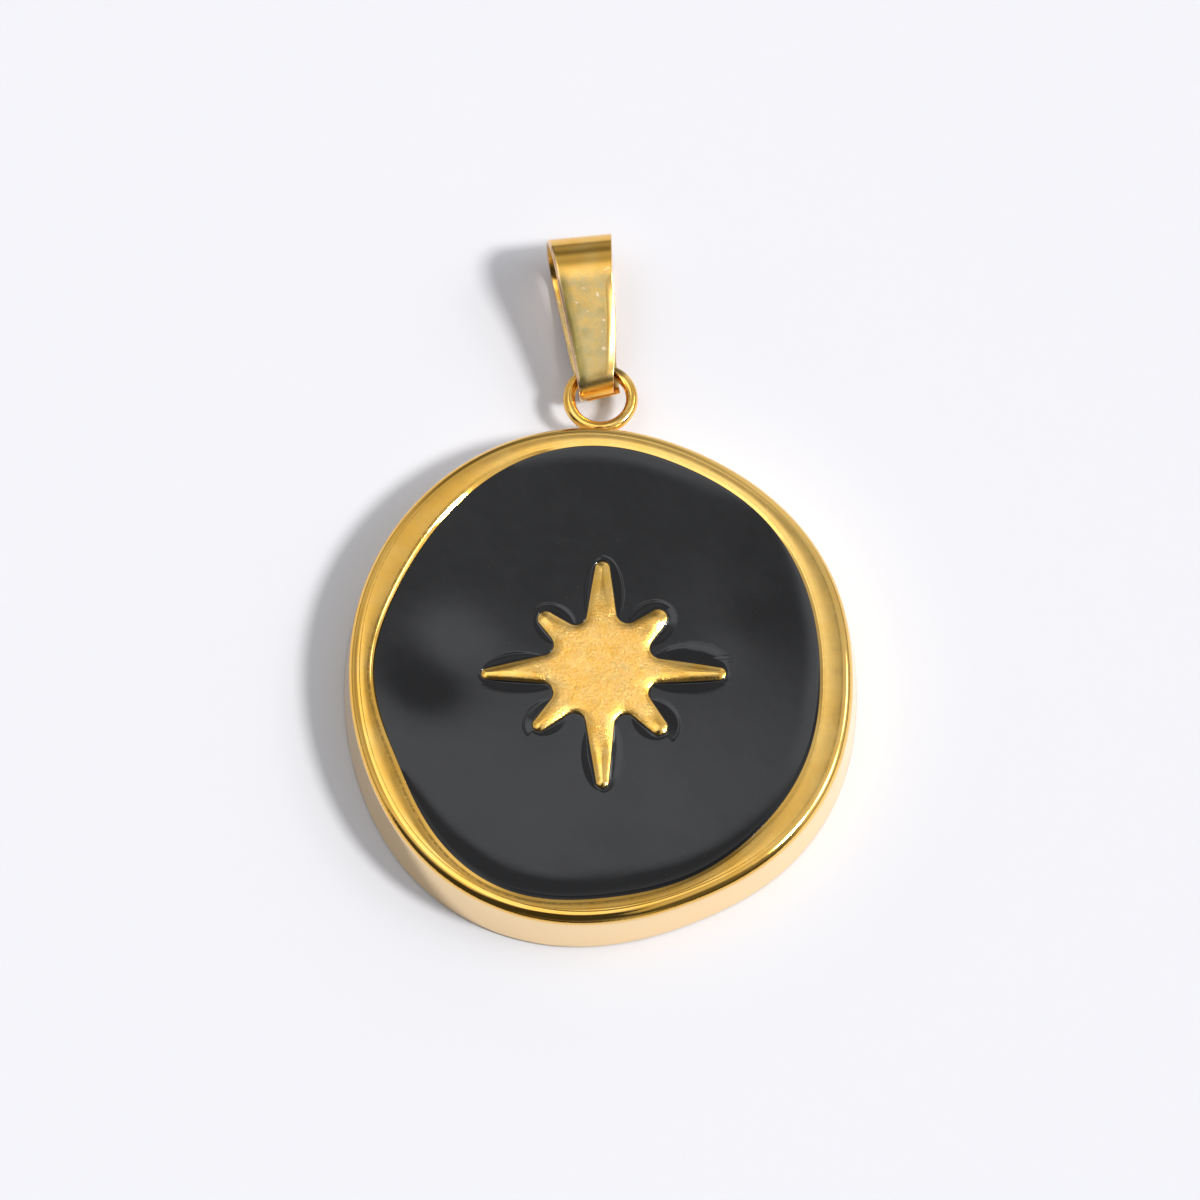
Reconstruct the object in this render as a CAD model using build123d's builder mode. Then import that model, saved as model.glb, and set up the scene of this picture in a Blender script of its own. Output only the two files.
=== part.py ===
from build123d import *

import os
from collections import namedtuple
from math import acos, asin, atan2, cos, degrees, hypot, radians, sin, sqrt

# An enamelled star pendant, lying on its back: X to the right, Y towards the bail, Z up.
# The origin is the middle of the disc's flat back, on the surface that it lies on.

# Disc, in millimetres
disc_width = 27.2
disc_length = 29.0
disc_thickness = 3.0
back_thickness = 1.2
wall_flare = 0.3
rim_width = 1.8
bevel_width = 0.5
shoulder_radius = 0.6
crown_radius = 0.12
base_radius = 0.15

# The most of the rim's flat top that the roundings at its outer and its inner edge may take
shoulder_share = 0.85
crown_share = 0.1

# Enamel fill
enamel_drop = 0.25
enamel_gap = 0.04

# Star
star_reach = 6.6
star_height = 0.25
star_fall = 0.14
star_tip = 0.4
notch_radius = 0.6
star_edge_radius = 0.12
star_root = 0.6
star_offset = 0.1

# Soldered ring
ring_diameter = 3.94
ring_wire = 0.6
ring_standoff = 0.1
solder_diameter = 0.9
solder_depth = 0.8

# Bail
bail_length = 8.95
bail_depth = 4.0
bail_strip = 0.35
bail_end_width = 3.5
bail_side_play = 0.45
bail_shoulder_radius = 4.0
bail_shoulder_turn = 8.0
bail_clearance = 0.2
bail_lean = 6.2
bail_offset = -0.18
bail_edge_radius = 0.12

# What follows from the sizes above
enamel_level = disc_thickness - enamel_drop
star_top = enamel_level + star_height

# The cast disc isn't quite round. Each row is a direction from its middle: the outline as a share of
# the ellipse through disc_width and disc_length, the rim as a share of rim_width, and the slope
# inside the rim as a share of bevel_width.
RimRow = namedtuple("RimRow", "direction outline rim bevel")
rim_rows = [
    RimRow(0.0, 1.001, 1.09, 0.40),
    RimRow(22.5, 1.008, 1.05, 0.40),
    RimRow(45.0, 0.995, 0.85, 0.42),
    RimRow(67.5, 0.986, 0.81, 0.42),
    RimRow(90.0, 1.005, 0.80, 0.44),
    RimRow(112.5, 1.019, 0.95, 0.55),
    RimRow(135.0, 1.019, 1.18, 0.72),
    RimRow(157.5, 1.012, 1.16, 0.72),
    RimRow(180.0, 1.003, 0.91, 0.72),
    RimRow(202.5, 1.012, 1.14, 0.85),
    RimRow(225.0, 1.034, 1.00, 1.00),
    RimRow(247.5, 1.028, 0.80, 1.10),
    RimRow(270.0, 0.998, 0.90, 1.25),
    RimRow(292.5, 0.977, 0.80, 1.15),
    RimRow(315.0, 1.001, 1.01, 0.90),
    RimRow(337.5, 1.012, 1.08, 0.50),
]

# The star's rays: direction, reach as a share of star_reach, half width near the tip as a share
# of star_tip. Between them its notches: direction and distance, again as a share of star_reach.
RayRow = namedtuple("RayRow", "direction reach tip notch_direction notch_reach")
ray_rows = [
    RayRow(0.2, 1.00, 0.96, 25.2, 0.353),
    RayRow(47.3, 0.74, 1.30, 71.0, 0.401),
    RayRow(90.0, 0.99, 1.08, 112.0, 0.394),
    RayRow(133.6, 0.73, 1.14, 149.5, 0.380),
    RayRow(179.8, 0.98, 0.84, 196.2, 0.332),
    RayRow(221.3, 0.73, 0.96, 240.0, 0.318),
    RayRow(270.0, 0.99, 0.88, 293.5, 0.280),
    RayRow(314.5, 0.72, 1.20, 343.5, 0.316),
]


def around(distance, direction, side=0.0):
    """A point at a distance along a direction in degrees, moved square to it by side."""
    along = radians(direction)
    return (
        distance * cos(along) - side * sin(along),
        distance * sin(along) + side * cos(along),
    )


def edge_point(row, inset):
    """A point of the disc's outline, drawn in towards the middle by inset."""
    x = disc_width / 2 * row.outline * cos(radians(row.direction))
    y = disc_length / 2 * row.outline * sin(radians(row.direction))
    kept = 1 - inset / hypot(x, y)
    return (x * kept, y * kept)


def disc_section(height, inset):
    """The disc's outline at a height, each row's point drawn in by inset(row)."""
    with BuildSketch(Plane.XY.offset(height)) as section:
        with BuildLine():
            Spline(*[edge_point(row, inset(row)) for row in rim_rows], periodic=True)
        make_face()
    return section.sketch


def full(row):
    return 0.0


def shoulder(row):
    return wall_flare


def pool(row):
    return rim_width * row.rim


def pool_top(row):
    return rim_width * row.rim - bevel_width * row.bevel


def enamel_edge(row):
    return rim_width * row.rim + enamel_gap


def touch(point, centre, radius, way):
    """Where a line from a point touches a circle, turned one way (1) or the other (-1) from the point."""
    away = (point[0] - centre[0], point[1] - centre[1])
    turn = atan2(away[1], away[0]) + way * acos(radius / hypot(*away))
    return (centre[0] + radius * cos(turn), centre[1] + radius * sin(turn))


# Star, raised from the sunk floor
with BuildPart() as star:
    with BuildSketch(Plane.XY.offset(back_thickness - star_root)) as star_face:
        with BuildLine():
            for before, row in zip([ray_rows[-1]] + ray_rows[:-1], ray_rows):
                reach = star_reach * row.reach
                half = star_tip * row.tip
                start = around(star_reach * before.notch_reach, before.notch_direction)
                end = around(star_reach * row.notch_reach, row.notch_direction)
                tip_centre = around(reach - half, row.direction)
                right = touch(start, tip_centre, half, 1)
                left = touch(end, tip_centre, half, -1)
                Line(start, right)
                ThreePointArc(right, around(reach, row.direction), left)
                Line(left, end)
        make_face()
        notches = star_face.vertices().sort_by_distance((0, 0, 0))[: len(ray_rows)]
        fillet(notches, notch_radius)
    extrude(amount=star_top - back_thickness + star_root)
    with BuildSketch(Plane.XZ):
        with BuildLine():
            dome = TangentArc((0, star_top), (star_reach, star_top - star_fall), tangent=(1, 0))
            Polyline(dome @ 1, (star_reach, 0), (0, 0), (0, star_top))
        make_face()
    revolve(axis=Axis.Z, mode=Mode.INTERSECT)
    star_rim = star.edges().filter_by(lambda edge: edge.bounding_box().min.Z > enamel_level)
    fillet(star_rim, star_edge_radius)

# Medallion: disc, rim, star and soldered ring, cast and soldered into one piece
rim_flat = min(pool_top(row) for row in rim_rows) - wall_flare
ring_radius = (ring_diameter - ring_wire) / 2
ring_height = disc_thickness / 2
bail_side = max(rim_rows, key=lambda row: edge_point(row, 0)[1])
disc_edge = edge_point(bail_side, wall_flare / 2)[1]
ring_centre = disc_edge + ring_standoff + ring_diameter / 2

with BuildPart() as medallion:
    loft([disc_section(0, full), disc_section(disc_thickness, shoulder)], ruled=True)
    pool_depth = enamel_level - back_thickness
    extrude(disc_section(back_thickness, pool), amount=pool_depth, mode=Mode.SUBTRACT)
    slope = [disc_section(enamel_level, pool), disc_section(disc_thickness, pool_top)]
    loft(slope, ruled=True, mode=Mode.SUBTRACT)
    top_edges = medallion.edges().filter_by_position(Axis.Z, disc_thickness, disc_thickness)
    fillet(top_edges.sort_by(SortBy.LENGTH)[-1], min(shoulder_radius, shoulder_share * rim_flat))
    top_edges = medallion.edges().filter_by_position(Axis.Z, disc_thickness, disc_thickness)
    fillet(top_edges.sort_by(SortBy.LENGTH)[0], min(crown_radius, crown_share * rim_flat))
    fillet(medallion.edges().filter_by_position(Axis.Z, 0, 0), base_radius)
    with Locations((star_offset, 0)):
        add(star.part)
    with Locations((0, ring_centre, ring_height)):
        Torus(ring_radius, ring_wire / 2)
    solder_start = disc_edge - solder_depth
    with BuildSketch(Plane((0, solder_start, ring_height), x_dir=(1, 0, 0), z_dir=(0, 1, 0))):
        Circle(solder_diameter / 2)
    extrude(amount=ring_centre - ring_radius - solder_start)
medallion.part.label = "medallion"

# Enamel: the fill between the rim and the star
with BuildPart() as enamel:
    floor = back_thickness + enamel_gap
    extrude(disc_section(floor, enamel_edge), amount=enamel_level - floor)
    with BuildSketch(Plane.XY.offset(back_thickness)):
        with Locations((star_offset, 0)):
            add(star_face.sketch_local)
        offset(amount=enamel_gap)
    extrude(amount=disc_thickness, mode=Mode.SUBTRACT)
enamel.part.label = "enamel"

# Bail: a tapered strip folded into a loop round the ring's wire
ring_inside = ring_radius - ring_wire / 2
bail_bend_width = 2 * (ring_inside - bail_side_play)
neck_reach = ring_wire / 2 + bail_clearance + bail_strip
neck_width = bail_bend_width + (bail_end_width - bail_bend_width) * neck_reach / bail_length
wire_top = ring_radius + ring_wire / 2
wire_foot = sqrt(ring_inside**2 - (neck_width / 2 + abs(bail_offset)) ** 2)
bend_radius = (wire_top - wire_foot) / 2 + bail_clearance + bail_strip
pivot_reach = (wire_top + wire_foot) / 2
end_radius = bail_depth / 2
lean_direction = 90 + bail_lean
pivot_x, pivot_y = around(pivot_reach, lean_direction, -bail_offset)
side_plane = Plane(
    (pivot_x, ring_centre + pivot_y, ring_height),
    x_dir=(*around(1, lean_direction), 0),
    z_dir=(*around(1, bail_lean), 0),
)
flat_plane = Plane(side_plane.origin, x_dir=side_plane.x_dir, z_dir=(0, 0, 1))


def on_circle(centre, radius, turn):
    """The point of a circle whose outward direction is turned from straight up towards the end."""
    return (centre[0] + radius * sin(radians(turn)), centre[1] + radius * cos(radians(turn)))


def belt_turn(near, near_radius, far, far_radius):
    """How far the upper tangent of two circles leans back from level, in degrees."""
    across = (far[0] - near[0], far[1] - near[1])
    rise = degrees(asin((near_radius - far_radius) / hypot(*across)))
    return rise - degrees(atan2(across[1], across[0]))


bend_centre = (0.0, 0.0)
end_centre = (bail_length - bend_radius - end_radius, end_radius - ring_height)
inward = bail_shoulder_radius - end_radius
shoulder_centre = on_circle(end_centre, -inward, bail_shoulder_turn)
front_turn = belt_turn(bend_centre, bend_radius, shoulder_centre, bail_shoulder_radius)
back_turn = 180 - belt_turn(bend_centre, bend_radius, (end_centre[0], -end_centre[1]), end_radius)
last_turn = back_turn - 360

with BuildPart() as bail:
    with BuildSketch(side_plane):
        with BuildLine():
            front_foot = on_circle(bend_centre, bend_radius, front_turn)
            front_top = on_circle(shoulder_centre, bail_shoulder_radius, front_turn)
            crest = on_circle(end_centre, end_radius, bail_shoulder_turn)
            back_end = on_circle(end_centre, end_radius, back_turn)
            back_foot = on_circle(bend_centre, bend_radius, back_turn)
            half_shoulder = (front_turn + bail_shoulder_turn) / 2
            half_end = (bail_shoulder_turn + back_turn) / 2
            half_bend = (last_turn + front_turn) / 2
            Line(front_foot, front_top)
            shoulder_middle = on_circle(shoulder_centre, bail_shoulder_radius, half_shoulder)
            ThreePointArc(front_top, shoulder_middle, crest)
            ThreePointArc(crest, on_circle(end_centre, end_radius, half_end), back_end)
            Line(back_end, back_foot)
            ThreePointArc(back_foot, on_circle(bend_centre, bend_radius, half_bend), front_foot)
        loop_face = make_face()
        offset(loop_face, amount=-bail_strip, mode=Mode.SUBTRACT)
    extrude(amount=bail_end_width / 2, both=True)
    with BuildSketch(flat_plane):
        end_reach = bail_length - bend_radius
        with BuildLine():
            Polyline(
                (-bend_radius, bail_bend_width / 2),
                (end_reach, bail_end_width / 2),
                (end_reach, -bail_end_width / 2),
                (-bend_radius, -bail_bend_width / 2),
                close=True,
            )
        make_face()
    extrude(amount=bail_depth, both=True, mode=Mode.INTERSECT)
    side_faces = bail.faces().sort_by(Axis(side_plane.origin, side_plane.z_dir))
    for side_face in (side_faces[0], side_faces[-1]):
        fillet(side_face.outer_wire().edges(), bail_edge_radius)
bail.part.label = "bail"

os.makedirs("parts", exist_ok=True)
export_step(medallion.part, "parts/medallion.step")
export_step(enamel.part, "parts/enamel.step")
export_step(bail.part, "parts/bail.step")
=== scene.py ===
from collections import namedtuple
from math import asin, atan2, cos, degrees, hypot, pi, radians, sin, sqrt, tan

import bpy
import numpy as np
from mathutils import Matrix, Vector


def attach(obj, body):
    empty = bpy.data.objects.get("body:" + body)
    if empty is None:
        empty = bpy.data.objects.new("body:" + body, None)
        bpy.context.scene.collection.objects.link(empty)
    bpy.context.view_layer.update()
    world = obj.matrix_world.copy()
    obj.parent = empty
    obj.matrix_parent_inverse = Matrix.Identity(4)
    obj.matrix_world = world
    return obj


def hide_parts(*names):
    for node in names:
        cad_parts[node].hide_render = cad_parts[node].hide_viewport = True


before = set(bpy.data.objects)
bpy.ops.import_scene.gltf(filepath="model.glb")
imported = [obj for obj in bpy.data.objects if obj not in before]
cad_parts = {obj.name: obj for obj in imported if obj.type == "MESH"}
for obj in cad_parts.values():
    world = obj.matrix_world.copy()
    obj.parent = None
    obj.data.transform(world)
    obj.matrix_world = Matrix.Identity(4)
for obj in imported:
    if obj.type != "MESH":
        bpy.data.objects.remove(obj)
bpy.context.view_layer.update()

# Lengths are in millimetres, as in the part's source, and become metres when a mesh is made.
MM = 0.001

# Disc
disc_width = 27.2
disc_length = 29.0
disc_thickness = 3.0
back_thickness = 1.2
rim_width = 1.8
bevel_width = 0.5
shoulder_radius = 0.6
shoulder_swell = 0.12
base_radius = 0.15

# Rim finish
crown_rise = 0.012
crease_depth = 0.008
crease_width = 0.03
lip_width = 0.27
slope_tilt = 8.0
groove_width = 0.08
bevel_soft = 0.3
lip_soft = 0.15

# Heights between which the paler wall and its brushing end and the duller crown begins
pale_wall = (2.5, 2.7)
brushed_wall = (2.75, 2.97)
dull_crown = (2.97, 2.995)

# Enamel
enamel_level = 2.75
pool_rise = 0.19
pool_tilt = 0.0105
dome_slope = 0.014
dome_reach = 3.0
side_dome = 0.0006
wall_depth = 0.4
floor_gap = 0.02
moat_depth = 0.035
moat_width = 0.6
star_climb = 0.14
star_climb_tilt = 22.0
star_climb_wobble = 4.0
star_climb_waves = 25
star_clearance = 0.015
least_climb = 0.01
climb_soft = 0.25
gentle_share = 0.7

# Star
star_reach = 6.6
star_top = 3.15
star_fall = 0.12
star_tip = 0.4
notch_radius = 0.6
star_offset = 0.1
star_edge_width = 0.55
star_edge_drop = 0.15
star_corner = 0.04
star_root = 0.05
star_grain = (2.4, 5.0)
star_polish = 0.3

# Ring
ring_diameter = 3.94
ring_wire = 0.6
ring_plating = 0.02
ring_centre = 16.492
ring_height = 1.5
solder_diameter = 0.9
solder_depth = 0.8
ring_radius = (ring_diameter - ring_wire) / 2
ring_heat = (0.45, 0.85)
# Painted dark reflection of the bail on the ring's wire beside it: where it fades in, and its turn from the
# top in radians
ring_painted_reflection = (0.90, 0.98)
ring_painted_reflection_turn = 0.45

# Bail. A roll of its edge is a width and a tilt in degrees.
bail_length = 8.95
bail_depth = 4.0
bail_strip = 0.35
bail_end_width = 3.5
bail_side_play = 0.45
bail_shoulder_radius = 4.0
bail_shoulder_turn = 8.0
bail_clearance = 0.2
bail_lean = 6.2
bail_offset = -0.18
bail_seam_turn = -100.0
bail_seam_gap = 0.04
bail_end_shift = 0.34
bail_foot_slant = 0.16
bail_bulge = 0.17
bail_chamfer = 0.17
bail_chamfer_tilt = 24.0
bail_left_roll = (0.45, 22.0)
bail_right_roll = (0.42, 27.0)
roll_soft = 0.06
bail_corner_width = 0.05
bail_corner_depth = 0.04
bail_inner_share = 0.985
bail_right_edge = (0.6, 0.4)

# Where the bail's front bulges, is hazy and slants, along it from its pivot, and where its end shifts
bail_front_turn = 60
bulge_start = -0.8
bulge_length = 5.6
haze_start = (-1.1, -0.6)
haze_end = (4.4, 5.6)
# Width of the painted shade beside the front's left chamfer
shade_width = 0.6
slant_span = (-0.4, 2.5)
shift_span = (3.2, 0.4)

# Points and rows of the meshes
disc_points = 900
base_steps, wall_steps, shoulder_steps = 5, 8, 20
crown_steps, bevel_steps, lip_steps = 24, 9, 11
arc_points = 24
star_spacing = 0.06
rim_points = 1440
ring_steps, wire_points = 160, 40
solder_steps, solder_points = 24, 48
strip_points = 44
batch_points = 2000
tiny = 1e-9

# Rows every 22.5 degrees: shares of the disc's half width and length, the rim's width and the bevel's
RimRow = namedtuple("RimRow", "direction outline rim bevel")
rim_rows = [
    RimRow(0.0, 1.001, 1.09, 0.40),
    RimRow(22.5, 1.008, 1.05, 0.40),
    RimRow(45.0, 0.995, 0.85, 0.42),
    RimRow(67.5, 0.986, 0.81, 0.42),
    RimRow(90.0, 1.005, 0.80, 0.44),
    RimRow(112.5, 1.019, 0.95, 0.55),
    RimRow(135.0, 1.019, 1.18, 0.72),
    RimRow(157.5, 1.012, 1.16, 0.72),
    RimRow(180.0, 1.003, 0.91, 0.72),
    RimRow(202.5, 1.012, 1.14, 0.85),
    RimRow(225.0, 1.034, 1.00, 1.00),
    RimRow(247.5, 1.028, 0.80, 1.10),
    RimRow(270.0, 0.998, 0.90, 1.25),
    RimRow(292.5, 0.977, 0.80, 1.15),
    RimRow(315.0, 1.001, 1.01, 0.90),
    RimRow(337.5, 1.012, 1.08, 0.50),
]

# Each ray of the star: its direction, shares of the star's reach and tip, and the notch after it
RayRow = namedtuple("RayRow", "direction reach tip notch_direction notch_reach")
ray_rows = [
    RayRow(0.2, 1.00, 0.96, 25.2, 0.353),
    RayRow(47.3, 0.74, 1.30, 71.0, 0.401),
    RayRow(90.0, 0.99, 1.08, 112.0, 0.394),
    RayRow(133.6, 0.73, 1.14, 149.5, 0.380),
    RayRow(179.8, 0.98, 0.84, 196.2, 0.332),
    RayRow(221.3, 0.73, 0.96, 240.0, 0.318),
    RayRow(270.0, 0.99, 0.88, 293.5, 0.280),
    RayRow(314.5, 0.72, 1.20, 343.5, 0.316),
]


# Points and meshes
def around(distance, direction, side=0.0):
    """A point at a distance along a direction in degrees, moved square to it by side."""
    along = radians(direction)
    x = distance * cos(along) - side * sin(along)
    y = distance * sin(along) + side * cos(along)
    return np.array((x, y))


def closed_curve(values, turns):
    """A smooth closed curve through evenly spaced values, read at turns from 0 to 1."""
    count = len(values)
    one = np.eye(count)
    knots = np.linalg.solve((np.roll(one, 1, 0) + 4 * one + np.roll(one, -1, 0)) / 6, values)
    place = np.asarray(turns) * count
    left = np.floor(place).astype(int)
    t = place - left
    parts = [(1 - t) ** 3, 3 * t**3 - 6 * t**2 + 4, -3 * t**3 + 3 * t**2 + 3 * t + 1, t**3]
    return sum(part * knots[(left + n - 1) % count] / 6 for n, part in enumerate(parts))


def smooth_step(value, start, end):
    """From 0 at start to 1 at end, with soft ends."""
    share = np.clip((value - start) / (end - start), 0, 1)
    return share * share * (3 - 2 * share)


def shell(name, rings, marks=None, joined=False):
    """A closed mesh of quads from ring to ring. Its two ends are closed, or joined to each other."""
    count = len(rings[0])
    points = np.concatenate(rings)
    if not joined:
        points = np.concatenate([points, [rings[0].mean(0)], [rings[-1].mean(0)]])
    here = np.arange(count)
    after = np.roll(here, -1)
    faces = []
    for n in range(len(rings) if joined else len(rings) - 1):
        low = n * count
        high = (n + 1) % len(rings) * count
        faces += np.stack([low + here, low + after, high + after, high + here], 1).tolist()
    if not joined:
        first, last, top = len(points) - 2, len(points) - 1, (len(rings) - 1) * count
        faces += [(first, int(b), int(a)) for a, b in zip(here, after)]
        faces += [(last, int(top + a), int(top + b)) for a, b in zip(here, after)]
    mesh = bpy.data.meshes.new(name)
    mesh.from_pydata((points * MM).tolist(), [], faces)
    mesh.shade_smooth()
    for mark, values in (marks or {}).items():
        ends = [] if joined else [[np.mean(values[0])], [np.mean(values[-1])]]
        flat = np.concatenate(list(values) + ends).astype(np.float32)
        mesh.attributes.new(mark, "FLOAT", "POINT").data.foreach_set("value", flat)
    mesh.validate()
    piece = bpy.data.objects.new(name, mesh)
    bpy.context.collection.objects.link(piece)
    return piece


# Shader nodes
def add(tree, kind, inputs=None, **settings):
    """A shader node. Its inputs are values or other nodes' outputs, by name or number."""
    made = tree.nodes.new(kind)
    for name, value in settings.items():
        setattr(made, name, value)
    for key, value in (inputs or {}).items():
        if isinstance(value, bpy.types.NodeSocket):
            tree.links.new(value, made.inputs[key])
        else:
            made.inputs[key].default_value = value
    return made


def calc(tree, operation, *values):
    """The result of a calculation with numbers and nodes' outputs."""
    return add(tree, "ShaderNodeMath", dict(enumerate(values)), operation=operation).outputs[0]


def noise(tree, size, detail=4.0, roughness=0.55, place=None):
    """Soft noise from 0 to 1, with features of about a size in millimetres."""
    place = place or add(tree, "ShaderNodeTexCoord").outputs["Object"]
    inputs = {"Vector": place, "Scale": 1 / (size * MM), "Detail": detail, "Roughness": roughness}
    return add(tree, "ShaderNodeTexNoise", inputs).outputs["Fac"]


def spread(tree, value, low, high, to_low=0.0, to_high=1.0):
    """A value's range from low to high, moved smoothly to another range."""
    inputs = {"Value": value, "From Min": low, "From Max": high, "To Min": to_low, "To Max": to_high}
    return add(tree, "ShaderNodeMapRange", inputs, interpolation_type="SMOOTHSTEP").outputs[0]


def mix(tree, share, first, second):
    """A colour between two others."""
    inputs = {0: share, 6: first, 7: second}
    return add(tree, "ShaderNodeMix", inputs, data_type="RGBA").outputs[2]


def mark(tree, name):
    """A number that a mesh carries at its points."""
    return add(tree, "ShaderNodeAttribute", attribute_name=name).outputs["Fac"]


def bump(tree, height, depth, strength=1.0, normal=None):
    """A bump of a depth in millimetres."""
    inputs = {"Height": height, "Distance": depth * MM, "Strength": strength}
    if normal:
        inputs["Normal"] = normal
    return add(tree, "ShaderNodeBump", inputs).outputs[0]


def new_material(name):
    """A material, its node tree and its shader."""
    material = bpy.data.materials.new(name)
    material.use_nodes = True
    return material, material.node_tree, material.node_tree.nodes["Principled BSDF"]


def feed(tree, surface, **inputs):
    """Sets the shader's inputs, each named with _ for a space, to values or to nodes' outputs."""
    for name, value in inputs.items():
        socket = surface.inputs[name.replace("_", " ").title().replace("Ior", "IOR")]
        if isinstance(value, bpy.types.NodeSocket):
            tree.links.new(value, socket)
        else:
            socket.default_value = value


# Finishes
gold_deep = (0.95, 0.53, 0.095, 1)
gold_light = (0.97, 0.62, 0.18, 1)
gold_pale = (0.98, 0.76, 0.47, 1)
gold_pink = (0.96, 0.65, 0.40, 1)
gold_olive = (0.55, 0.47, 0.24, 1)
# Dark olive for stains in the bail's haze and for its painted shade
gold_stain_and_shade = (0.27, 0.21, 0.06, 1)
gold_burnt = (0.72, 0.30, 0.04, 1)
# Dark dirt for the rim's groove; the ring's painted dark reflection of the bail uses it too
grime_and_painted_reflection = (0.16, 0.10, 0.03, 1)


def polished_gold():
    """The rim: polished, with soft waves, fine scratches, a paler wall and a dull line in its groove."""
    material, tree, surface = new_material("polished_gold")
    patches = spread(tree, noise(tree, 3.0, 3), 0.35, 0.65, 0.0, 0.6)
    colour = mix(tree, calc(tree, "ADD", patches, mark(tree, "pale")), gold_deep, gold_light)
    colour = mix(tree, calc(tree, "MULTIPLY", mark(tree, "wall"), 0.9), colour, gold_pale)
    dirt = spread(tree, noise(tree, 0.3, 5, 0.7), 0.36, 0.56, 0.25, 1.0)
    worn = calc(tree, "MULTIPLY", mark(tree, "groove"), dirt)
    colour = mix(tree, calc(tree, "MULTIPLY", worn, 0.6), colour, grime_and_painted_reflection)
    satin = spread(tree, noise(tree, 0.9, 5), 0.3, 0.7, 0.06, 0.11)
    satin = calc(tree, "ADD", satin, calc(tree, "MULTIPLY", mark(tree, "crown"), 0.10))
    normal = bump(tree, noise(tree, 1.1, 2), 0.003)
    normal = bump(tree, noise(tree, 0.05, 2), 0.0004, normal=normal)
    place = add(tree, "ShaderNodeTexCoord").outputs["Object"]
    upright = add(tree, "ShaderNodeVectorMath", {0: place, 1: (1, 1, 0.06)}, operation="MULTIPLY")
    brushed = calc(tree, "MULTIPLY", noise(tree, 0.16, 3, 0.6, upright.outputs[0]), mark(tree, "side"))
    normal = bump(tree, brushed, 0.006, normal=normal)
    feed(tree, surface, metallic=1.0, base_color=colour, roughness=satin, normal=normal)
    return material


def wire_gold():
    """The ring and its solder: bright wire, burnt darker orange round the joint, and a painted dark
    reflection of the bail on the wire beside it.
    """
    material, tree, surface = new_material("wire_gold")
    patches = spread(tree, noise(tree, 1.2, 3), 0.35, 0.65)
    colour = mix(tree, patches, gold_deep, gold_light)
    heat = calc(tree, "MULTIPLY", mark(tree, "heat"), spread(tree, noise(tree, 0.4, 3), 0.3, 0.6, 0.5, 1.0))
    colour = mix(tree, heat, colour, gold_burnt)
    # Painted dark reflection of the bail on the wire beside it
    colour = mix(tree, calc(tree, "MULTIPLY", mark(tree, "painted_bail_reflection"), 0.8), colour, grime_and_painted_reflection)
    satin = spread(tree, noise(tree, 0.5, 4), 0.3, 0.7, 0.09, 0.16)
    normal = bump(tree, noise(tree, 0.4, 3), 0.006)
    feed(tree, surface, metallic=1.0, base_color=colour, roughness=satin, normal=normal)
    return material


def star_gold():
    """The star: fine sand-cast grain in the middle, polished towards the rays' tips."""
    material, tree, surface = new_material("star_gold")
    rough = mark(tree, "satin")
    patches = spread(tree, noise(tree, 0.8, 5, 0.65), 0.35, 0.68)
    colour = mix(tree, patches, gold_light, gold_deep)
    grit = calc(tree, "MULTIPLY", rough, spread(tree, noise(tree, 0.11, 4, 0.75), 0.46, 0.62))
    colour = mix(tree, calc(tree, "MULTIPLY", grit, 0.5), colour, gold_burnt)
    pale = calc(tree, "MULTIPLY", rough, spread(tree, noise(tree, 0.09, 4, 0.75), 0.52, 0.68))
    colour = mix(tree, calc(tree, "MULTIPLY", pale, 0.7), colour, gold_pale)
    smudge = calc(tree, "MULTIPLY", rough, spread(tree, noise(tree, 1.3, 4, 0.6), 0.48, 0.72, 0.0, 0.30))
    colour = mix(tree, smudge, colour, gold_olive)
    low = calc(tree, "MULTIPLY", rough, 0.20)
    satin = calc(tree, "ADD", low, spread(tree, noise(tree, 0.3, 4), 0.3, 0.7, 0.08, 0.15))
    grain = calc(tree, "MULTIPLY", noise(tree, 0.11, 4, 0.7), calc(tree, "ADD", rough, 0.12))
    normal = bump(tree, grain, 0.045)
    normal = bump(tree, noise(tree, 0.6, 3), 0.010, normal=normal)
    feed(tree, surface, metallic=1.0, base_color=colour, roughness=satin, normal=normal)
    return material


def bail_gold():
    """The bail: a smooth strip whose front is dulled by a mottled haze, with a few bright specks and a
    painted shade along the left of its front.
    """
    material, tree, surface = new_material("bail_gold")
    haze = mark(tree, "haze")
    mottle = spread(tree, noise(tree, 0.8, 5, 0.7), 0.34, 0.66, 0.45, 1.0)
    dull = calc(tree, "MULTIPLY", haze, mottle)
    base = mix(tree, spread(tree, noise(tree, 2.5, 2), 0.35, 0.65), gold_light, gold_deep)
    colour = mix(tree, calc(tree, "MULTIPLY", dull, 0.85), base, gold_olive)
    stain = calc(tree, "MULTIPLY", haze, spread(tree, noise(tree, 0.9, 5, 0.65), 0.45, 0.75, 0.0, 0.4))
    # Stains in the haze, and a painted shade along the front's left edge, in the same dark olive
    colour = mix(tree, calc(tree, "MAXIMUM", stain, mark(tree, "shade")), colour, gold_stain_and_shade)
    speck = calc(tree, "MULTIPLY", haze, spread(tree, noise(tree, 0.38, 1, 0.3), 0.72, 0.76))
    colour = mix(tree, speck, colour, gold_pale)
    colour = mix(tree, mark(tree, "cut"), colour, gold_pink)
    satin = calc(tree, "ADD", calc(tree, "MULTIPLY", dull, 0.14), 0.19)
    satin = calc(tree, "SUBTRACT", satin, calc(tree, "MULTIPLY", mark(tree, "edge"), 0.10))
    normal = bump(tree, noise(tree, 1.4, 2), 0.006)
    normal = bump(tree, noise(tree, 0.06, 2), 0.0006, normal=normal)
    feed(tree, surface, metallic=1.0, base_color=colour, roughness=satin, normal=normal)
    return material


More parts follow.
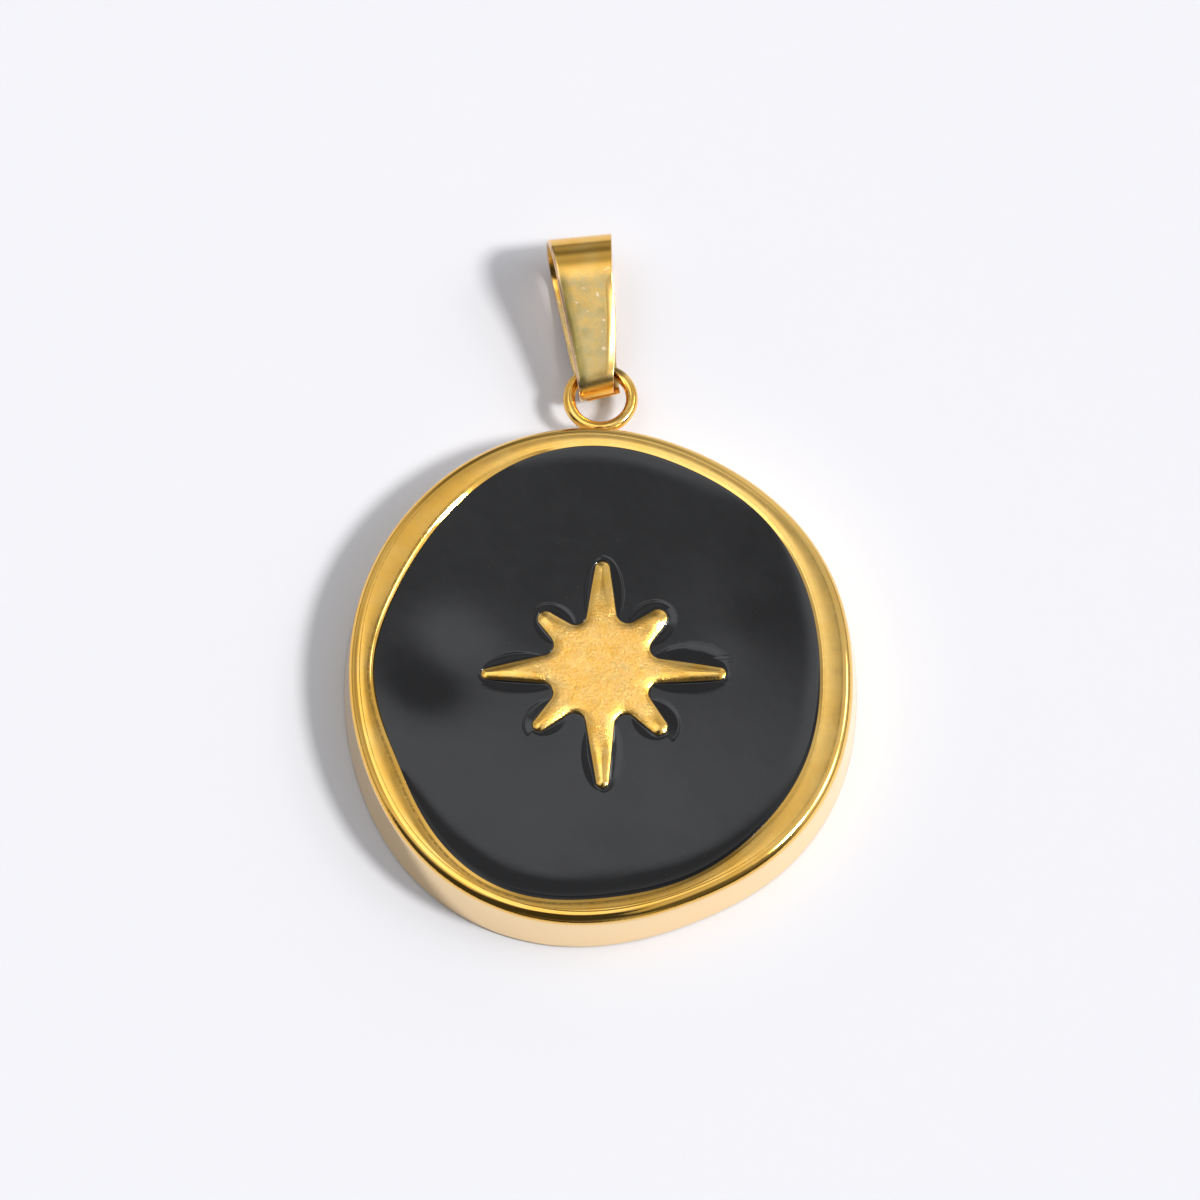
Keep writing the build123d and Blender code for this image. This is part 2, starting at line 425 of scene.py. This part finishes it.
def black_enamel():
    """Glossy black resin enamel, with a faint haze of fine scratches and a few specks of dust."""
    material, tree, surface = new_material("black_enamel")
    dust = spread(tree, noise(tree, 0.12, 2, 0.4), 0.74, 0.80)
    colour = mix(tree, dust, (0.0045, 0.0045, 0.005, 1), (0.03, 0.03, 0.034, 1))
    satin = spread(tree, noise(tree, 2.5, 5), 0.35, 0.7, 0.05, 0.10)
    normal = bump(tree, noise(tree, 2.2, 2), 0.003)
    feed(tree, surface, base_color=colour, roughness=satin, normal=normal, ior=1.56)
    return material


# Soft mounds, which are hollows where their height is below zero: their middle, size and height
Mound = namedtuple("Mound", "x y size height")


def add_mounds(height, points, mounds):
    """Heights at points, raised and lowered by mounds."""
    for mound in mounds:
        away = (points[:, 0] - mound.x) ** 2 + (points[:, 1] - mound.y) ** 2
        height += mound.height * np.exp(-away / (2 * mound.size**2))
    return height


# Enamel surface away from the metal: a low dome with a few broad waves
waves = [
    Mound(-8.5, 0.6, 1.7, -0.085),
    Mound(-13.0, -2.0, 5.0, 0.09),
    Mound(11.0, 13.0, 4.0, 0.07),
    Mound(7.5, 6.0, 2.6, 0.03),
    Mound(-5.0, -8.5, 1.8, -0.02),
    Mound(7.6, 2.2, 1.3, 0.016),
    Mound(1.5, -9.0, 2.2, -0.015),
]


def enamel_pool(points):
    """The height of the enamel away from the metal."""
    height = enamel_level + pool_rise + pool_tilt * points[:, 1]
    height -= dome_slope * dome_reach * np.log(np.cosh(points[:, 1] / dome_reach))
    height -= side_dome * points[:, 0] ** 2
    return add_mounds(height, points, waves)


# Rows every 45 degrees: the wall's flare, the tilt of the rim's lip, how high the enamel swells towards
# it and from how far away, and the width of the last steeper rise to the lip.
EdgeRow = namedtuple("EdgeRow", "direction flare tilt swell reach rise")
edge_rows = [
    EdgeRow(0.0, 0.25, 25.0, 0.040, 1.1, 0.16),
    EdgeRow(45.0, 0.30, 16.0, 0.035, 1.2, 0.16),
    EdgeRow(90.0, 0.30, 9.0, 0.035, 1.2, 0.16),
    EdgeRow(135.0, 0.30, 29.0, 0.050, 0.8, 0.20),
    EdgeRow(180.0, 0.32, 31.0, 0.040, 0.8, 0.20),
    EdgeRow(225.0, 0.40, 26.0, 0.090, 1.7, 0.25),
    EdgeRow(270.0, 0.20, 24.0, 0.130, 2.1, 0.25),
    EdgeRow(315.0, 0.12, 24.0, 0.080, 1.5, 0.22),
]
wall_flare, lip_tilt, swell_height, swell_reach, rise_width = (
    [getattr(row, name) for row in edge_rows] for name in ("flare", "tilt", "swell", "reach", "rise")
)


# Disc: the cast rim and back, a shell that also runs down under the enamel
disc_turns = np.arange(disc_points) / disc_points
rim_outline, rim_share, bevel_share = (
    [getattr(row, name) for row in rim_rows] for name in ("outline", "rim", "bevel")
)


def disc_point(turns, inset, height):
    """Points of the disc's outline, drawn in by inset, at a height."""
    outline = closed_curve(rim_outline, turns)
    x = disc_width / 2 * outline * np.cos(2 * pi * turns)
    y = disc_length / 2 * outline * np.sin(2 * pi * turns)
    kept = 1 - inset / np.hypot(x, y)
    return np.stack([x * kept, y * kept, height + np.zeros_like(x)], 1)


def rim_sizes(turns):
    """The rim's whole width, its inner slope's width and the width of the lip along the enamel."""
    whole = rim_width * closed_curve(rim_share, turns)
    bevel = bevel_width * closed_curve(bevel_share, turns)
    return whole, bevel, np.minimum(lip_width, bevel * 0.9)


def bend(share, soft):
    """A slope from 0 to 1 that starts softly."""
    return (np.sqrt(share**2 + soft**2) - soft) / (sqrt(1 + soft**2) - soft)


# The row of the rim's section where the shoulder ends, along which the crease runs
crease_row = base_steps + wall_steps + shoulder_steps - 1


def rim_section(turns):
    """The rim's section as (inset, height), from the foot of the wall to the enamel's edge."""
    whole, bevel, lip = rim_sizes(turns)
    tilt = np.radians(closed_curve(lip_tilt, turns))
    radius = shoulder_radius * (1 - shoulder_swell * np.sin(2 * pi * turns))
    lean = closed_curve(wall_flare, turns) / disc_thickness
    centre = radius * np.hypot(1, lean) + lean * (disc_thickness - radius)
    rows = []
    for turn in np.linspace(0, pi / 2, base_steps):
        inset = base_radius * (1 - sin(turn)) + 0 * turns
        rows.append((inset, base_radius * (1 - cos(turn)) + 0 * turns))
    start = disc_thickness - radius + radius * np.sin(np.arctan(lean))
    for share in np.linspace(0, 1, wall_steps + 2)[1:-1]:
        height = base_radius + (start - base_radius) * share
        rows.append((lean * height, height))
    for turn in np.linspace(np.arctan(lean), pi / 2, shoulder_steps):
        rows.append((centre - radius * np.cos(turn), disc_thickness - radius + radius * np.sin(turn)))
    edge = whole - bevel
    for share in np.linspace(0, 1, crown_steps)[1:]:
        inset = centre + (edge - centre) * share
        crease = crease_depth * np.exp(-(((inset - centre) / crease_width) ** 2))
        rows.append((inset, disc_thickness + crown_rise * 4 * share * (1 - share) - crease))
    fall = (bevel - lip) * tan(radians(slope_tilt))
    for share in np.linspace(0, 1, bevel_steps)[1:]:
        rows.append((edge + (bevel - lip) * share, disc_thickness - fall * bend(share, bevel_soft)))
    for share in np.linspace(0, 1, lip_steps)[1:]:
        height = disc_thickness - fall - lip * np.tan(tilt) * bend(share, lip_soft)
        rows.append((whole - lip * (1 - share), height))
    return rows


def make_disc():
    """The disc's shell. Dirt, the crease and paler gold each have their own side of the rim."""
    whole, _, lip = rim_sizes(disc_turns)
    grimy = 0.3 + 0.7 * smooth_step(np.cos(2 * pi * (disc_turns - 0.56)), 0.0, 0.7)
    creased = 0.7 * smooth_step(np.abs(np.cos(2 * pi * (disc_turns + 0.02))), 0.5, 0.9)
    paler = 0.7 * smooth_step(np.cos(2 * pi * (disc_turns - 0.1)), -0.2, 0.9)
    none = np.zeros_like(disc_turns)
    back = disc_point(disc_turns, 0.0, 0.0)
    rings = [back * (share, share, 1) for share in (0.3, 0.7, 0.95)]
    marks = {name: [none] * len(rings) for name in ("wall", "groove", "crown", "side")}
    section = rim_section(disc_turns)
    crease = section[crease_row][0]
    for inset, height in section:
        rings.append(disc_point(disc_turns, inset, height))
        line = np.abs(inset - whole + lip + groove_width / 2)
        dirt = (1 - smooth_step(line, groove_width / 2, groove_width * 1.4)) * grimy
        dirt += creased * np.exp(-(((inset - crease) / crease_width) ** 2))
        marks["wall"].append(1 - smooth_step(height, *pale_wall))
        marks["groove"].append(dirt)
        marks["crown"].append(smooth_step(height, *dull_crown))
        marks["side"].append(1 - smooth_step(height, *brushed_wall))
    for height in (enamel_level - wall_depth, back_thickness):
        rings.append(disc_point(disc_turns, whole, height))
    floor = disc_point(disc_turns, whole, back_thickness)
    rings += [floor * (share, share, 1) for share in (0.8, 0.4)]
    for values in marks.values():
        values += [none] * (len(rings) - len(values))
    marks["pale"] = [paler] * len(rings)
    return shell("disc", rings, marks)


# Star: its outline, then a shell from the sunk floor over its softly rounded top
def fillet(before, corner, after, radius, count):
    """Points of the arc that rounds a corner between two others."""
    to_before = (before - corner) / np.linalg.norm(before - corner)
    to_after = (after - corner) / np.linalg.norm(after - corner)
    half = np.arccos(np.clip(to_before @ to_after, -1, 1)) / 2
    middle = to_before + to_after
    centre = corner + middle / np.linalg.norm(middle) * radius / np.sin(half)
    start = corner + to_before * radius / np.tan(half) - centre
    end = corner + to_after * radius / np.tan(half) - centre
    first = atan2(start[1], start[0])
    sweep = (atan2(end[1], end[0]) - first + pi) % (2 * pi) - pi
    angles = first + sweep * np.linspace(0, 1, count)
    return centre + radius * np.stack([np.cos(angles), np.sin(angles)], 1)


def star_outline(spacing):
    """The star's outline, resampled evenly, from its middle."""
    corners = []
    for before, row in zip([ray_rows[-1]] + ray_rows[:-1], ray_rows):
        reach = star_reach * row.reach
        half = star_tip * row.tip
        corners.append(around(star_reach * before.notch_reach, before.notch_direction))
        corners.append(around(reach - half, row.direction, -half))
        corners.append(around(reach - half, row.direction, half))
    line = []
    for n, row in enumerate(ray_rows):
        notch, right = corners[3 * n: 3 * n + 2]
        line.append(fillet(corners[3 * n - 1], notch, right, notch_radius, arc_points))
        half = star_tip * row.tip
        middle = around(star_reach * row.reach - half, row.direction)
        angles = radians(row.direction) + np.linspace(-pi / 2, pi / 2, arc_points)
        line.append(middle + half * np.stack([np.cos(angles), np.sin(angles)], 1))
    line = np.concatenate(line)
    closed = np.concatenate([line, line[:1]])
    run = np.concatenate([[0], np.cumsum(np.linalg.norm(np.diff(closed, axis=0), axis=1))])
    at = np.arange(0, run[-1], run[-1] / round(run[-1] / spacing))
    return np.stack([np.interp(at, run, closed[:, n]) for n in (0, 1)], 1)


star_line = star_outline(star_spacing)


def star_distance(points):
    """How far each point is from the star's outline, and the outline's nearest point."""
    gaps = []
    places = []
    starts, ends = star_line, np.roll(star_line, -1, 0)
    along = ends - starts
    length = (along**2).sum(1)
    for part in np.array_split(points, max(1, len(points) // batch_points)):
        offset = part[:, None] - starts
        share = np.clip((offset * along).sum(2) / length, 0, 1)
        squares = ((offset - along * share[..., None]) ** 2).sum(2)
        places.append(squares.argmin(1))
        gaps.append(np.sqrt(squares.min(1)))
    return np.concatenate(gaps), np.concatenate(places)


def corner_fall(near, depth):
    """How far a small round corner falls, at a nearness to its edge from 0 to 1, short of upright."""
    return depth * (1 - np.sqrt(1 - 0.98 * near**2))


# Small unevennesses of the star
star_dents = [
    Mound(3.05, 2.55, 0.22, -0.05),
    Mound(2.75, 3.15, 0.20, 0.03),
    Mound(2.45, 2.10, 0.25, 0.03),
    Mound(2.15, -0.75, 0.22, -0.05),
    Mound(1.10, -2.05, 0.20, -0.05),
    Mound(2.70, -2.60, 0.25, -0.03),
    Mound(0.05, 5.60, 0.30, -0.015),
    Mound(-0.2, -0.30, 1.30, -0.02),
]


def star_height(points, distance):
    """The star's top surface at points inside its outline."""
    reach = np.linalg.norm(points, axis=1) / star_reach
    roll = (1 - np.clip(distance / star_edge_width, 0, 1)) ** 2
    corner = 1 - np.clip(distance / star_corner, 0, 1)
    height = star_top - star_fall * reach**2 - star_edge_drop * roll
    height -= corner_fall(corner, star_corner)
    return add_mounds(height, points, star_dents)


def make_star():
    """The star's shell, from its hidden root over its top, which is satin in the middle."""
    count = len(star_line)
    foot = back_thickness - star_root
    edge = star_height(star_line, np.zeros(count))
    rings = [np.column_stack([star_line * share, np.full(count, foot)]) for share in (0.3, 0.75, 1.0)]
    rings.append(np.column_stack([star_line, (edge + foot) / 2]))
    satin = [np.zeros(count)] * len(rings)
    near_edge = 1 - np.linspace(0, 1, 20) ** 1.5 * 0.3
    inner = np.linspace(0.68, 0.04, 26)
    for share in np.concatenate([near_edge, inner]):
        points = star_line * share
        distance, _ = star_distance(points)
        rings.append(np.column_stack([points, star_height(points, distance)]))
        middle = 1 - smooth_step(np.linalg.norm(points, axis=1), *star_grain)
        satin.append(middle * smooth_step(distance, 0.0, star_polish))
    for ring in rings:
        ring[:, 0] += star_offset
    return shell("star", rings, {"satin": satin})


# Enamel: it climbs to the rim and to the star, beside whose rays it has sunk in shallow moats.
# Each row is a ray's direction and side (1 is anticlockwise of it), the moat's middle along the ray and
# half length, how far out it reaches from the ray's axis, and where between ray and edge it is deepest.
Moat = namedtuple("Moat", "direction side middle half_length out deepest")
moats = [
    Moat(0.2, 1, 4.55, 2.15, 1.70, 0.82),
    Moat(0.2, -1, 4.50, 2.30, 1.15, 0.15),
    Moat(47.3, 1, 4.00, 1.35, 1.26, 0.82),
    Moat(47.3, -1, 4.00, 1.40, 1.20, 0.15),
    Moat(90.0, 1, 4.60, 2.10, 1.00, 0.40),
    Moat(90.0, -1, 4.70, 2.10, 1.15, 0.82),
    Moat(133.6, 1, 3.80, 1.15, 0.90, 0.30),
    Moat(133.6, -1, 3.90, 1.30, 1.20, 0.82),
    Moat(179.8, 1, 4.30, 2.30, 1.15, 0.15),
    Moat(179.8, -1, 4.40, 2.00, 1.25, 0.82),
    Moat(221.3, 1, 3.80, 1.20, 0.95, 0.20),
    Moat(221.3, -1, 4.00, 1.35, 1.05, 0.82),
    Moat(270.0, 1, 4.60, 2.20, 1.15, 0.30),
    Moat(270.0, -1, 4.60, 2.10, 1.15, 0.20),
    Moat(314.5, 1, 4.00, 1.40, 1.35, 0.82),
    Moat(314.5, -1, 3.80, 1.20, 1.00, 0.20),
]


def moat_share(points, gap):
    """How deep each point lies in the moats, from 0 to 1. Its gap is its distance from the star."""
    share = np.zeros(len(points))
    for moat in moats:
        along = points @ around(1, moat.direction) - moat.middle
        across = points @ around(1, moat.direction + 90 * moat.side)
        away = np.hypot(along / moat.half_length, across / moat.out) + tiny
        steep = np.hypot(along / moat.half_length**2, across / moat.out**2) / away + tiny
        inside = np.clip((1 - away) / steep, 0, None) * (across > 0)
        place = gap / (gap + inside + tiny)
        depth = smooth_step(place, 0, moat.deepest) * (1 - smooth_step(place, moat.deepest, 1))
        share = np.maximum(share, depth * np.minimum((gap + inside) / moat_width, 1))
    return share


def make_enamel():
    """The enamel: rings from the star's edge out to the rim, and back under them on the sunk floor."""
    count = len(star_line)
    inner = star_line + (star_offset, 0)
    angles = np.arctan2(inner[:, 1], inner[:, 0]) % (2 * pi)
    turns = np.arange(rim_points) / rim_points
    whole = rim_sizes(turns)[0]
    rim_top = disc_point(turns, whole, 0.0)
    rim_angle = np.arctan2(rim_top[:, 1], rim_top[:, 0]) % (2 * pi)
    order = np.argsort(rim_angle)
    outer = np.stack(
        [np.interp(angles, rim_angle[order], rim_top[order, n], period=2 * pi) for n in (0, 1)], 1
    )
    contact = np.interp(angles, rim_angle[order], rim_section(turns)[-1][1][order], period=2 * pi)
    around_rim = angles / (2 * pi)
    swell, reach, rise = (closed_curve(row, around_rim) for row in (swell_height, swell_reach, rise_width))
    star_edge = star_height(star_line, np.zeros(count)) - star_clearance
    near_star = np.linspace(0, 0.2, 40)
    open_pool = np.linspace(0.2, 0.84, 17)[1:]
    near_rim = 1 - 0.16 * np.linspace(1, 0, 25)[1:] ** 1.7
    top = []
    for share in np.concatenate([near_star, open_pool, near_rim]):
        points = inner + (outer - inner) * share
        gap, place = star_distance(points - (star_offset, 0))
        rim_gap = np.linalg.norm(outer - points, axis=1)
        height = enamel_pool(points) - moat_depth * moat_share(points - (star_offset, 0), gap)
        gain = np.clip(star_edge[place] - height, least_climb, star_climb)
        wobble = np.sin(2 * pi * star_climb_waves * place / count)
        slope = np.tan(np.radians(star_climb_tilt + star_climb_wobble * wobble))
        near = np.clip(1 - gap * slope / gain, 0, 1)
        height += gain * bend(near, climb_soft)
        climb = np.maximum(contact - height, 0)
        gentle = np.minimum(swell, gentle_share * climb)
        height += gentle * np.clip(1 - rim_gap / reach, 0, 1) ** 3
        height += (climb - gentle) * bend(np.clip(1 - rim_gap / rise, 0, 1), climb_soft)
        top.append(np.column_stack([points, height]))
    floor = np.full(count, back_thickness + floor_gap)
    bottom = [np.column_stack([outer, floor]), np.column_stack([inner, floor])]
    return shell("enamel_fill", top[::-1] + bottom[::-1], joined=True)


# Ring and its solder
def make_ring():
    """The closed ring, of slightly uneven wire, burnt round its joint, with a painted dark reflection of
    the bail on the wire beside it.
    """
    tube = np.linspace(0, 2 * pi, wire_points, endpoint=False)
    rings = []
    heat = []
    painted_bail_reflection = []
    for turn in np.linspace(0, 2 * pi, ring_steps, endpoint=False):
        wire = (ring_wire / 2 + ring_plating) * (1 + 0.015 * sin(3 * turn) + 0.01 * cos(7 * turn))
        out = ring_radius + wire * np.cos(tube)
        height = ring_height + wire * np.sin(tube)
        rings.append(np.stack([out * sin(turn), ring_centre + out * cos(turn), height], 1))
        heat.append(np.full(wire_points, smooth_step(-cos(turn), *ring_heat)))
        # Painted dark reflection of the bail, on the wire beside it
        painted_bail_reflection.append(np.full(wire_points, smooth_step(cos(turn - ring_painted_reflection_turn), *ring_painted_reflection)))
    return shell("ring", rings, {"heat": heat, "painted_bail_reflection": painted_bail_reflection}, joined=True)


def make_solder():
    """The solder joint, wider towards the disc and flatter towards the ring."""
    start = disc_point(np.array([0.25]), solder_depth, 0.0)[0, 1]
    end = ring_centre - ring_radius
    tube = np.linspace(0, 2 * pi, solder_points, endpoint=False)
    rings = []
    for share in np.linspace(0, 1, solder_steps):
        wide = solder_diameter / 2 * (1.15 + 0.3 * share + 1.1 * (1 - share) ** 3)
        high = solder_diameter / 2 * (1 + 0.15 * (1 - share)) * (1 - 0.35 * share**2)
        y = np.full(solder_points, start + (end - start) * share)
        rings.append(np.stack([wide * np.sin(tube), y, ring_height + high * np.cos(tube)], 1))
    return shell("solder", rings, {"heat": [np.ones(solder_points)] * solder_steps})


# Bail: a strip bent round the ring's wire, its two ends meeting under it
ring_inside = ring_radius - ring_wire / 2
bail_bend_width = 2 * (ring_inside - bail_side_play)
neck_reach = ring_wire / 2 + bail_clearance + bail_strip
neck_width = bail_bend_width + (bail_end_width - bail_bend_width) * neck_reach / bail_length
wire_top = ring_radius + ring_wire / 2
wire_foot = sqrt(ring_inside**2 - (neck_width / 2 + abs(bail_offset)) ** 2)
bend_radius = (wire_top - wire_foot) / 2 + bail_clearance + bail_strip
bail_side = np.array((*around(1, bail_lean), 0.0))
bail_along = np.array((*around(1, 90 + bail_lean), 0.0))
bail_pivot = np.array((0.0, ring_centre, ring_height))
bail_pivot += bail_along * (wire_top + wire_foot) / 2 + bail_side * bail_offset


def on_circle(centre, radius, turn):
    """A point of a circle at a turn in degrees from straight up."""
    return (centre[0] + radius * sin(radians(turn)), centre[1] + radius * cos(radians(turn)))


def belt_turn(near, near_radius, far, far_radius):
    """How far the upper tangent of two circles leans back from level, in degrees."""
    across = (far[0] - near[0], far[1] - near[1])
    rise = degrees(asin((near_radius - far_radius) / hypot(*across)))
    return rise - degrees(atan2(across[1], across[0]))


def bail_path():
    """The strip's outer face seen from the side: rows of (along, up, turn), from seam to seam."""
    foot = (0.0, 0.0)
    end_radius = bail_depth / 2
    end = (bail_length - bend_radius - end_radius, end_radius - ring_height)
    shoulder = on_circle(end, end_radius - bail_shoulder_radius, bail_shoulder_turn)
    front = belt_turn(foot, bend_radius, shoulder, bail_shoulder_radius)
    back = 180 - belt_turn(foot, bend_radius, (end[0], -end[1]), end_radius)
    gap = degrees(bail_seam_gap / bend_radius)
    arcs = [
        (foot, bend_radius, bail_seam_turn, front, 10),
        (shoulder, bail_shoulder_radius, front, bail_shoulder_turn, 22),
        (end, end_radius, bail_shoulder_turn, back, 60),
        (foot, bend_radius, back - 360, bail_seam_turn - gap, 26),
    ]
    path = []
    for n, (centre, radius, first, last, steps) in enumerate(arcs):
        turns = np.linspace(first, last, steps)
        points = [(*on_circle(centre, radius, turn), turn) for turn in turns]
        if n in (1, 3):
            start, stop = np.array(path[-1]), np.array(points[0])
            start[2] -= 360 * (n == 3)
            path += [tuple(start + (stop - start) * share) for share in np.linspace(0, 1, 40)[1:-1]]
        path += points if n != 2 else points[1:]
    return np.array(path)


def edge_roll(gap, width, tilt):
    """How far the strip's face bends down within a width of its edge, to a tilt in degrees."""
    near = np.clip(1 - gap / width, 0, 1)
    return tan(radians(tilt)) * width * (np.sqrt(near**2 + roll_soft) - sqrt(roll_soft))


def bail_section(width, roll):
    """The strip's section: (across, in from the outer face), from the left edge over the outer face.
    Its edges roll down by a share. With it come the shares of its cut sides and of its right edge."""
    half = width / 2
    share = np.sin(np.linspace(-pi / 2, pi / 2, strip_points))
    across = share * half
    right = edge_roll(half - across, *bail_right_roll)
    left = edge_roll(half + across, *bail_left_roll)
    corner = np.clip(1 - (half - np.abs(across)) / bail_corner_width, 0, 1)
    chamfer = edge_roll(half + across, bail_chamfer, bail_chamfer_tilt)
    drop = (left + right) * roll + chamfer + corner_fall(corner, bail_corner_depth)
    outer = np.column_stack([across, drop])
    inner = np.column_stack([across[::-1] * bail_inner_share, np.full(strip_points, bail_strip)])
    inner[:, 1] -= bail_corner_width * np.abs(share[::-1]) ** 12
    pale = 1 - smooth_step(half + across, bail_chamfer * 0.6, bail_chamfer)
    cut = np.concatenate([np.maximum(corner, pale), np.abs(share[::-1]) ** 60])
    edge_start, edge_end = bail_right_edge
    rolled = smooth_step(across, half - edge_start, half - edge_end)
    edge = np.concatenate([rolled, np.zeros(strip_points)])
    return np.concatenate([outer, inner]), cut, edge


def make_bail():
    """The bail: the strip's section, moved along its loop from one end at the seam to the other."""
    path = bail_path()
    steps = np.linalg.norm(np.diff(path[:, :2], axis=0), axis=1)
    run = np.concatenate([[0], np.cumsum(steps)])
    up_axis = np.array((0.0, 0.0, 1.0))
    rings = []
    marks = {"haze": [], "shade": [], "cut": [], "edge": []}
    for (along, up, turn), passed in zip(path, run):
        share = (along + bend_radius) / bail_length
        width = bail_bend_width + (bail_end_width - bail_bend_width) * share
        facing = turn < bail_front_turn
        lens = facing * sin(pi * min(max((along - bulge_start) / bulge_length, 0), 1))
        front = facing * smooth_step(along, *haze_start) * (1 - smooth_step(along, *haze_end))
        section, cut, edge = bail_section(width, lens)
        # Painted shade beside the left chamfer of the front
        left_gap = section[:strip_points, 0] + width / 2
        shady = 1 - smooth_step(left_gap, bail_chamfer, bail_chamfer + shade_width)
        shade = front * shady * (1 - cut[:strip_points])
        section[:, 0] += bail_bulge * lens * (0.5 + section[:, 0] / width)
        outward = sin(radians(turn)) * bail_along + cos(radians(turn)) * up_axis
        shift = bail_end_shift * smooth_step(passed, run[-1] - shift_span[0], run[-1] - shift_span[1])
        slant = bail_foot_slant * (1 - smooth_step(along, *slant_span))
        centre = bail_pivot + along * bail_along + up * up_axis + shift * bail_side
        ring = centre + section[:, :1] * (bail_side + slant * bail_along) - section[:, 1:] * outward
        rings.append(ring)
        marks["haze"].append(front * (1 - edge * lens))
        marks["shade"].append(np.concatenate([shade, np.zeros(strip_points)]))
        marks["cut"].append(cut)
        marks["edge"].append(edge * lens)
    return shell("bail_strip", rings, marks)


# Pieces, their finishes and the bodies they ride on
disc = make_disc()
star = make_star()
enamel = make_enamel()
ring = make_ring()
solder = make_solder()
bail = make_bail()
wire_finish = wire_gold()
finishes = [
    (disc, polished_gold(), "medallion", "gold"),
    (star, star_gold(), "medallion", "gold"),
    (ring, wire_finish, "medallion", "gold"),
    (solder, wire_finish, "medallion", "gold"),
    (enamel, black_enamel(), "medallion", "enamel"),
    (bail, bail_gold(), "bail", "gold"),
]
for piece, finish, body, slot in finishes:
    piece.data.materials.append(finish)
    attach(piece, body)
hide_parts("medallion")
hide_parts("enamel")
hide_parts("bail")

# Floor
floor_mesh = bpy.data.meshes.new("floor")
floor_reach = 3.0
floor_corners = [(x * floor_reach, y * floor_reach, 0) for x, y in ((-1, -1), (1, -1), (1, 1), (-1, 1))]
floor_mesh.from_pydata(floor_corners, [], [(0, 1, 2, 3)])
floor = bpy.data.objects.new("floor", floor_mesh)
bpy.context.collection.objects.link(floor)
floor_finish, tree, surface = new_material("floor_finish")
feed(tree, surface, base_color=(0.74, 0.74, 0.775, 1), roughness=0.6)
floor_mesh.materials.append(floor_finish)

# Camera: over the pendant, leaning 23 degrees back towards the viewer
camera_tilt = radians(23.0)
camera_distance = 2000.0
sensor_width = 36.0
frame_pixels = 1200
pixels_per_mm = 18.8
frame_across = frame_pixels / pixels_per_mm
look_at = Vector((-0.0266, 5.49, 0.0))
camera_data = bpy.data.cameras.new("camera")
camera_data.sensor_width = sensor_width
camera_data.lens = sensor_width * camera_distance / frame_across
camera = bpy.data.objects.new("camera", camera_data)
bpy.context.collection.objects.link(camera)
camera.location = (look_at + Vector((0, -sin(camera_tilt), cos(camera_tilt))) * camera_distance) * MM
camera.rotation_euler = (camera_tilt, 0, 0)
bpy.context.scene.camera = camera

# Light: one soft-edged lamp from the right front, in a pale room with brighter and darker patches
key_from = Vector((0.675, -0.19, 0.713))
key_data = bpy.data.lights.new("key", "SUN")
key_data.energy = 2.6
key_data.angle = radians(11.0)
key_data.color = (1.0, 0.985, 0.96)
key = bpy.data.objects.new("key", key_data)
bpy.context.collection.objects.link(key)
key.rotation_euler = key_from.to_track_quat("Z", "Y").to_euler()

# Each patch of the room's walls and ceiling: where its middle is seen from the pendant, the angles from
# there at which it begins to fade and ends, all in degrees, and the light that it adds or takes away
Lobe = namedtuple("Lobe", "azimuth elevation inner outer light")
room_light = 0.62
room_low = 0.05
room_fade = 0.3
room_horizon = (0.1, 0.3)
lobes = [
    Lobe(158, 77, 18.8, 22.8, 0.92),
    Lobe(-90, 87, 3, 14, -0.3),
    Lobe(84, 66, 7, 13, -0.25),
    Lobe(96, 26, 16, 27, -0.45),
    Lobe(75, 8, 14, 34, 0.3),
    Lobe(158, 42, 8, 18, -0.3),
    Lobe(-5, 45, 12, 38, 0.15),
    Lobe(3, 38, 5, 10, 7.0),
    Lobe(23, 33, 4, 8, 4.0),
    Lobe(180, 50, 12, 32, 0.2),
    Lobe(-90, 67, 6, 14, -1.0),
    Lobe(-104, 46, 16, 26, -0.6),
    Lobe(-145, 22, 22, 30, -0.6),
    Lobe(-105, 28, 22, 36, -0.45),
    Lobe(-45, 28, 18, 30, -0.5),
]
world = bpy.data.worlds.new("room")
bpy.context.scene.world = world
world.use_nodes = True
tree = world.node_tree
direction = add(tree, "ShaderNodeTexCoord").outputs["Generated"]
height = add(tree, "ShaderNodeSeparateXYZ", {0: direction}).outputs["Z"]
light = spread(tree, height, *room_horizon, room_light - room_fade, room_light)
for lobe in lobes:
    centre = (*around(cos(radians(lobe.elevation)), lobe.azimuth), sin(radians(lobe.elevation)))
    near = add(tree, "ShaderNodeVectorMath", {0: direction, 1: centre}, operation="DOT_PRODUCT")
    ends = (cos(radians(lobe.outer)), cos(radians(lobe.inner)))
    part = spread(tree, near.outputs["Value"], *ends, 0.0, lobe.light)
    light = calc(tree, "ADD", light, part)
light = calc(tree, "MAXIMUM", light, room_low)
tree.links.new(light, tree.nodes["Background"].inputs["Strength"])
tree.nodes["Background"].inputs["Color"].default_value = (0.96, 0.975, 1.0, 1)

bpy.context.scene.view_settings.view_transform = "Standard"
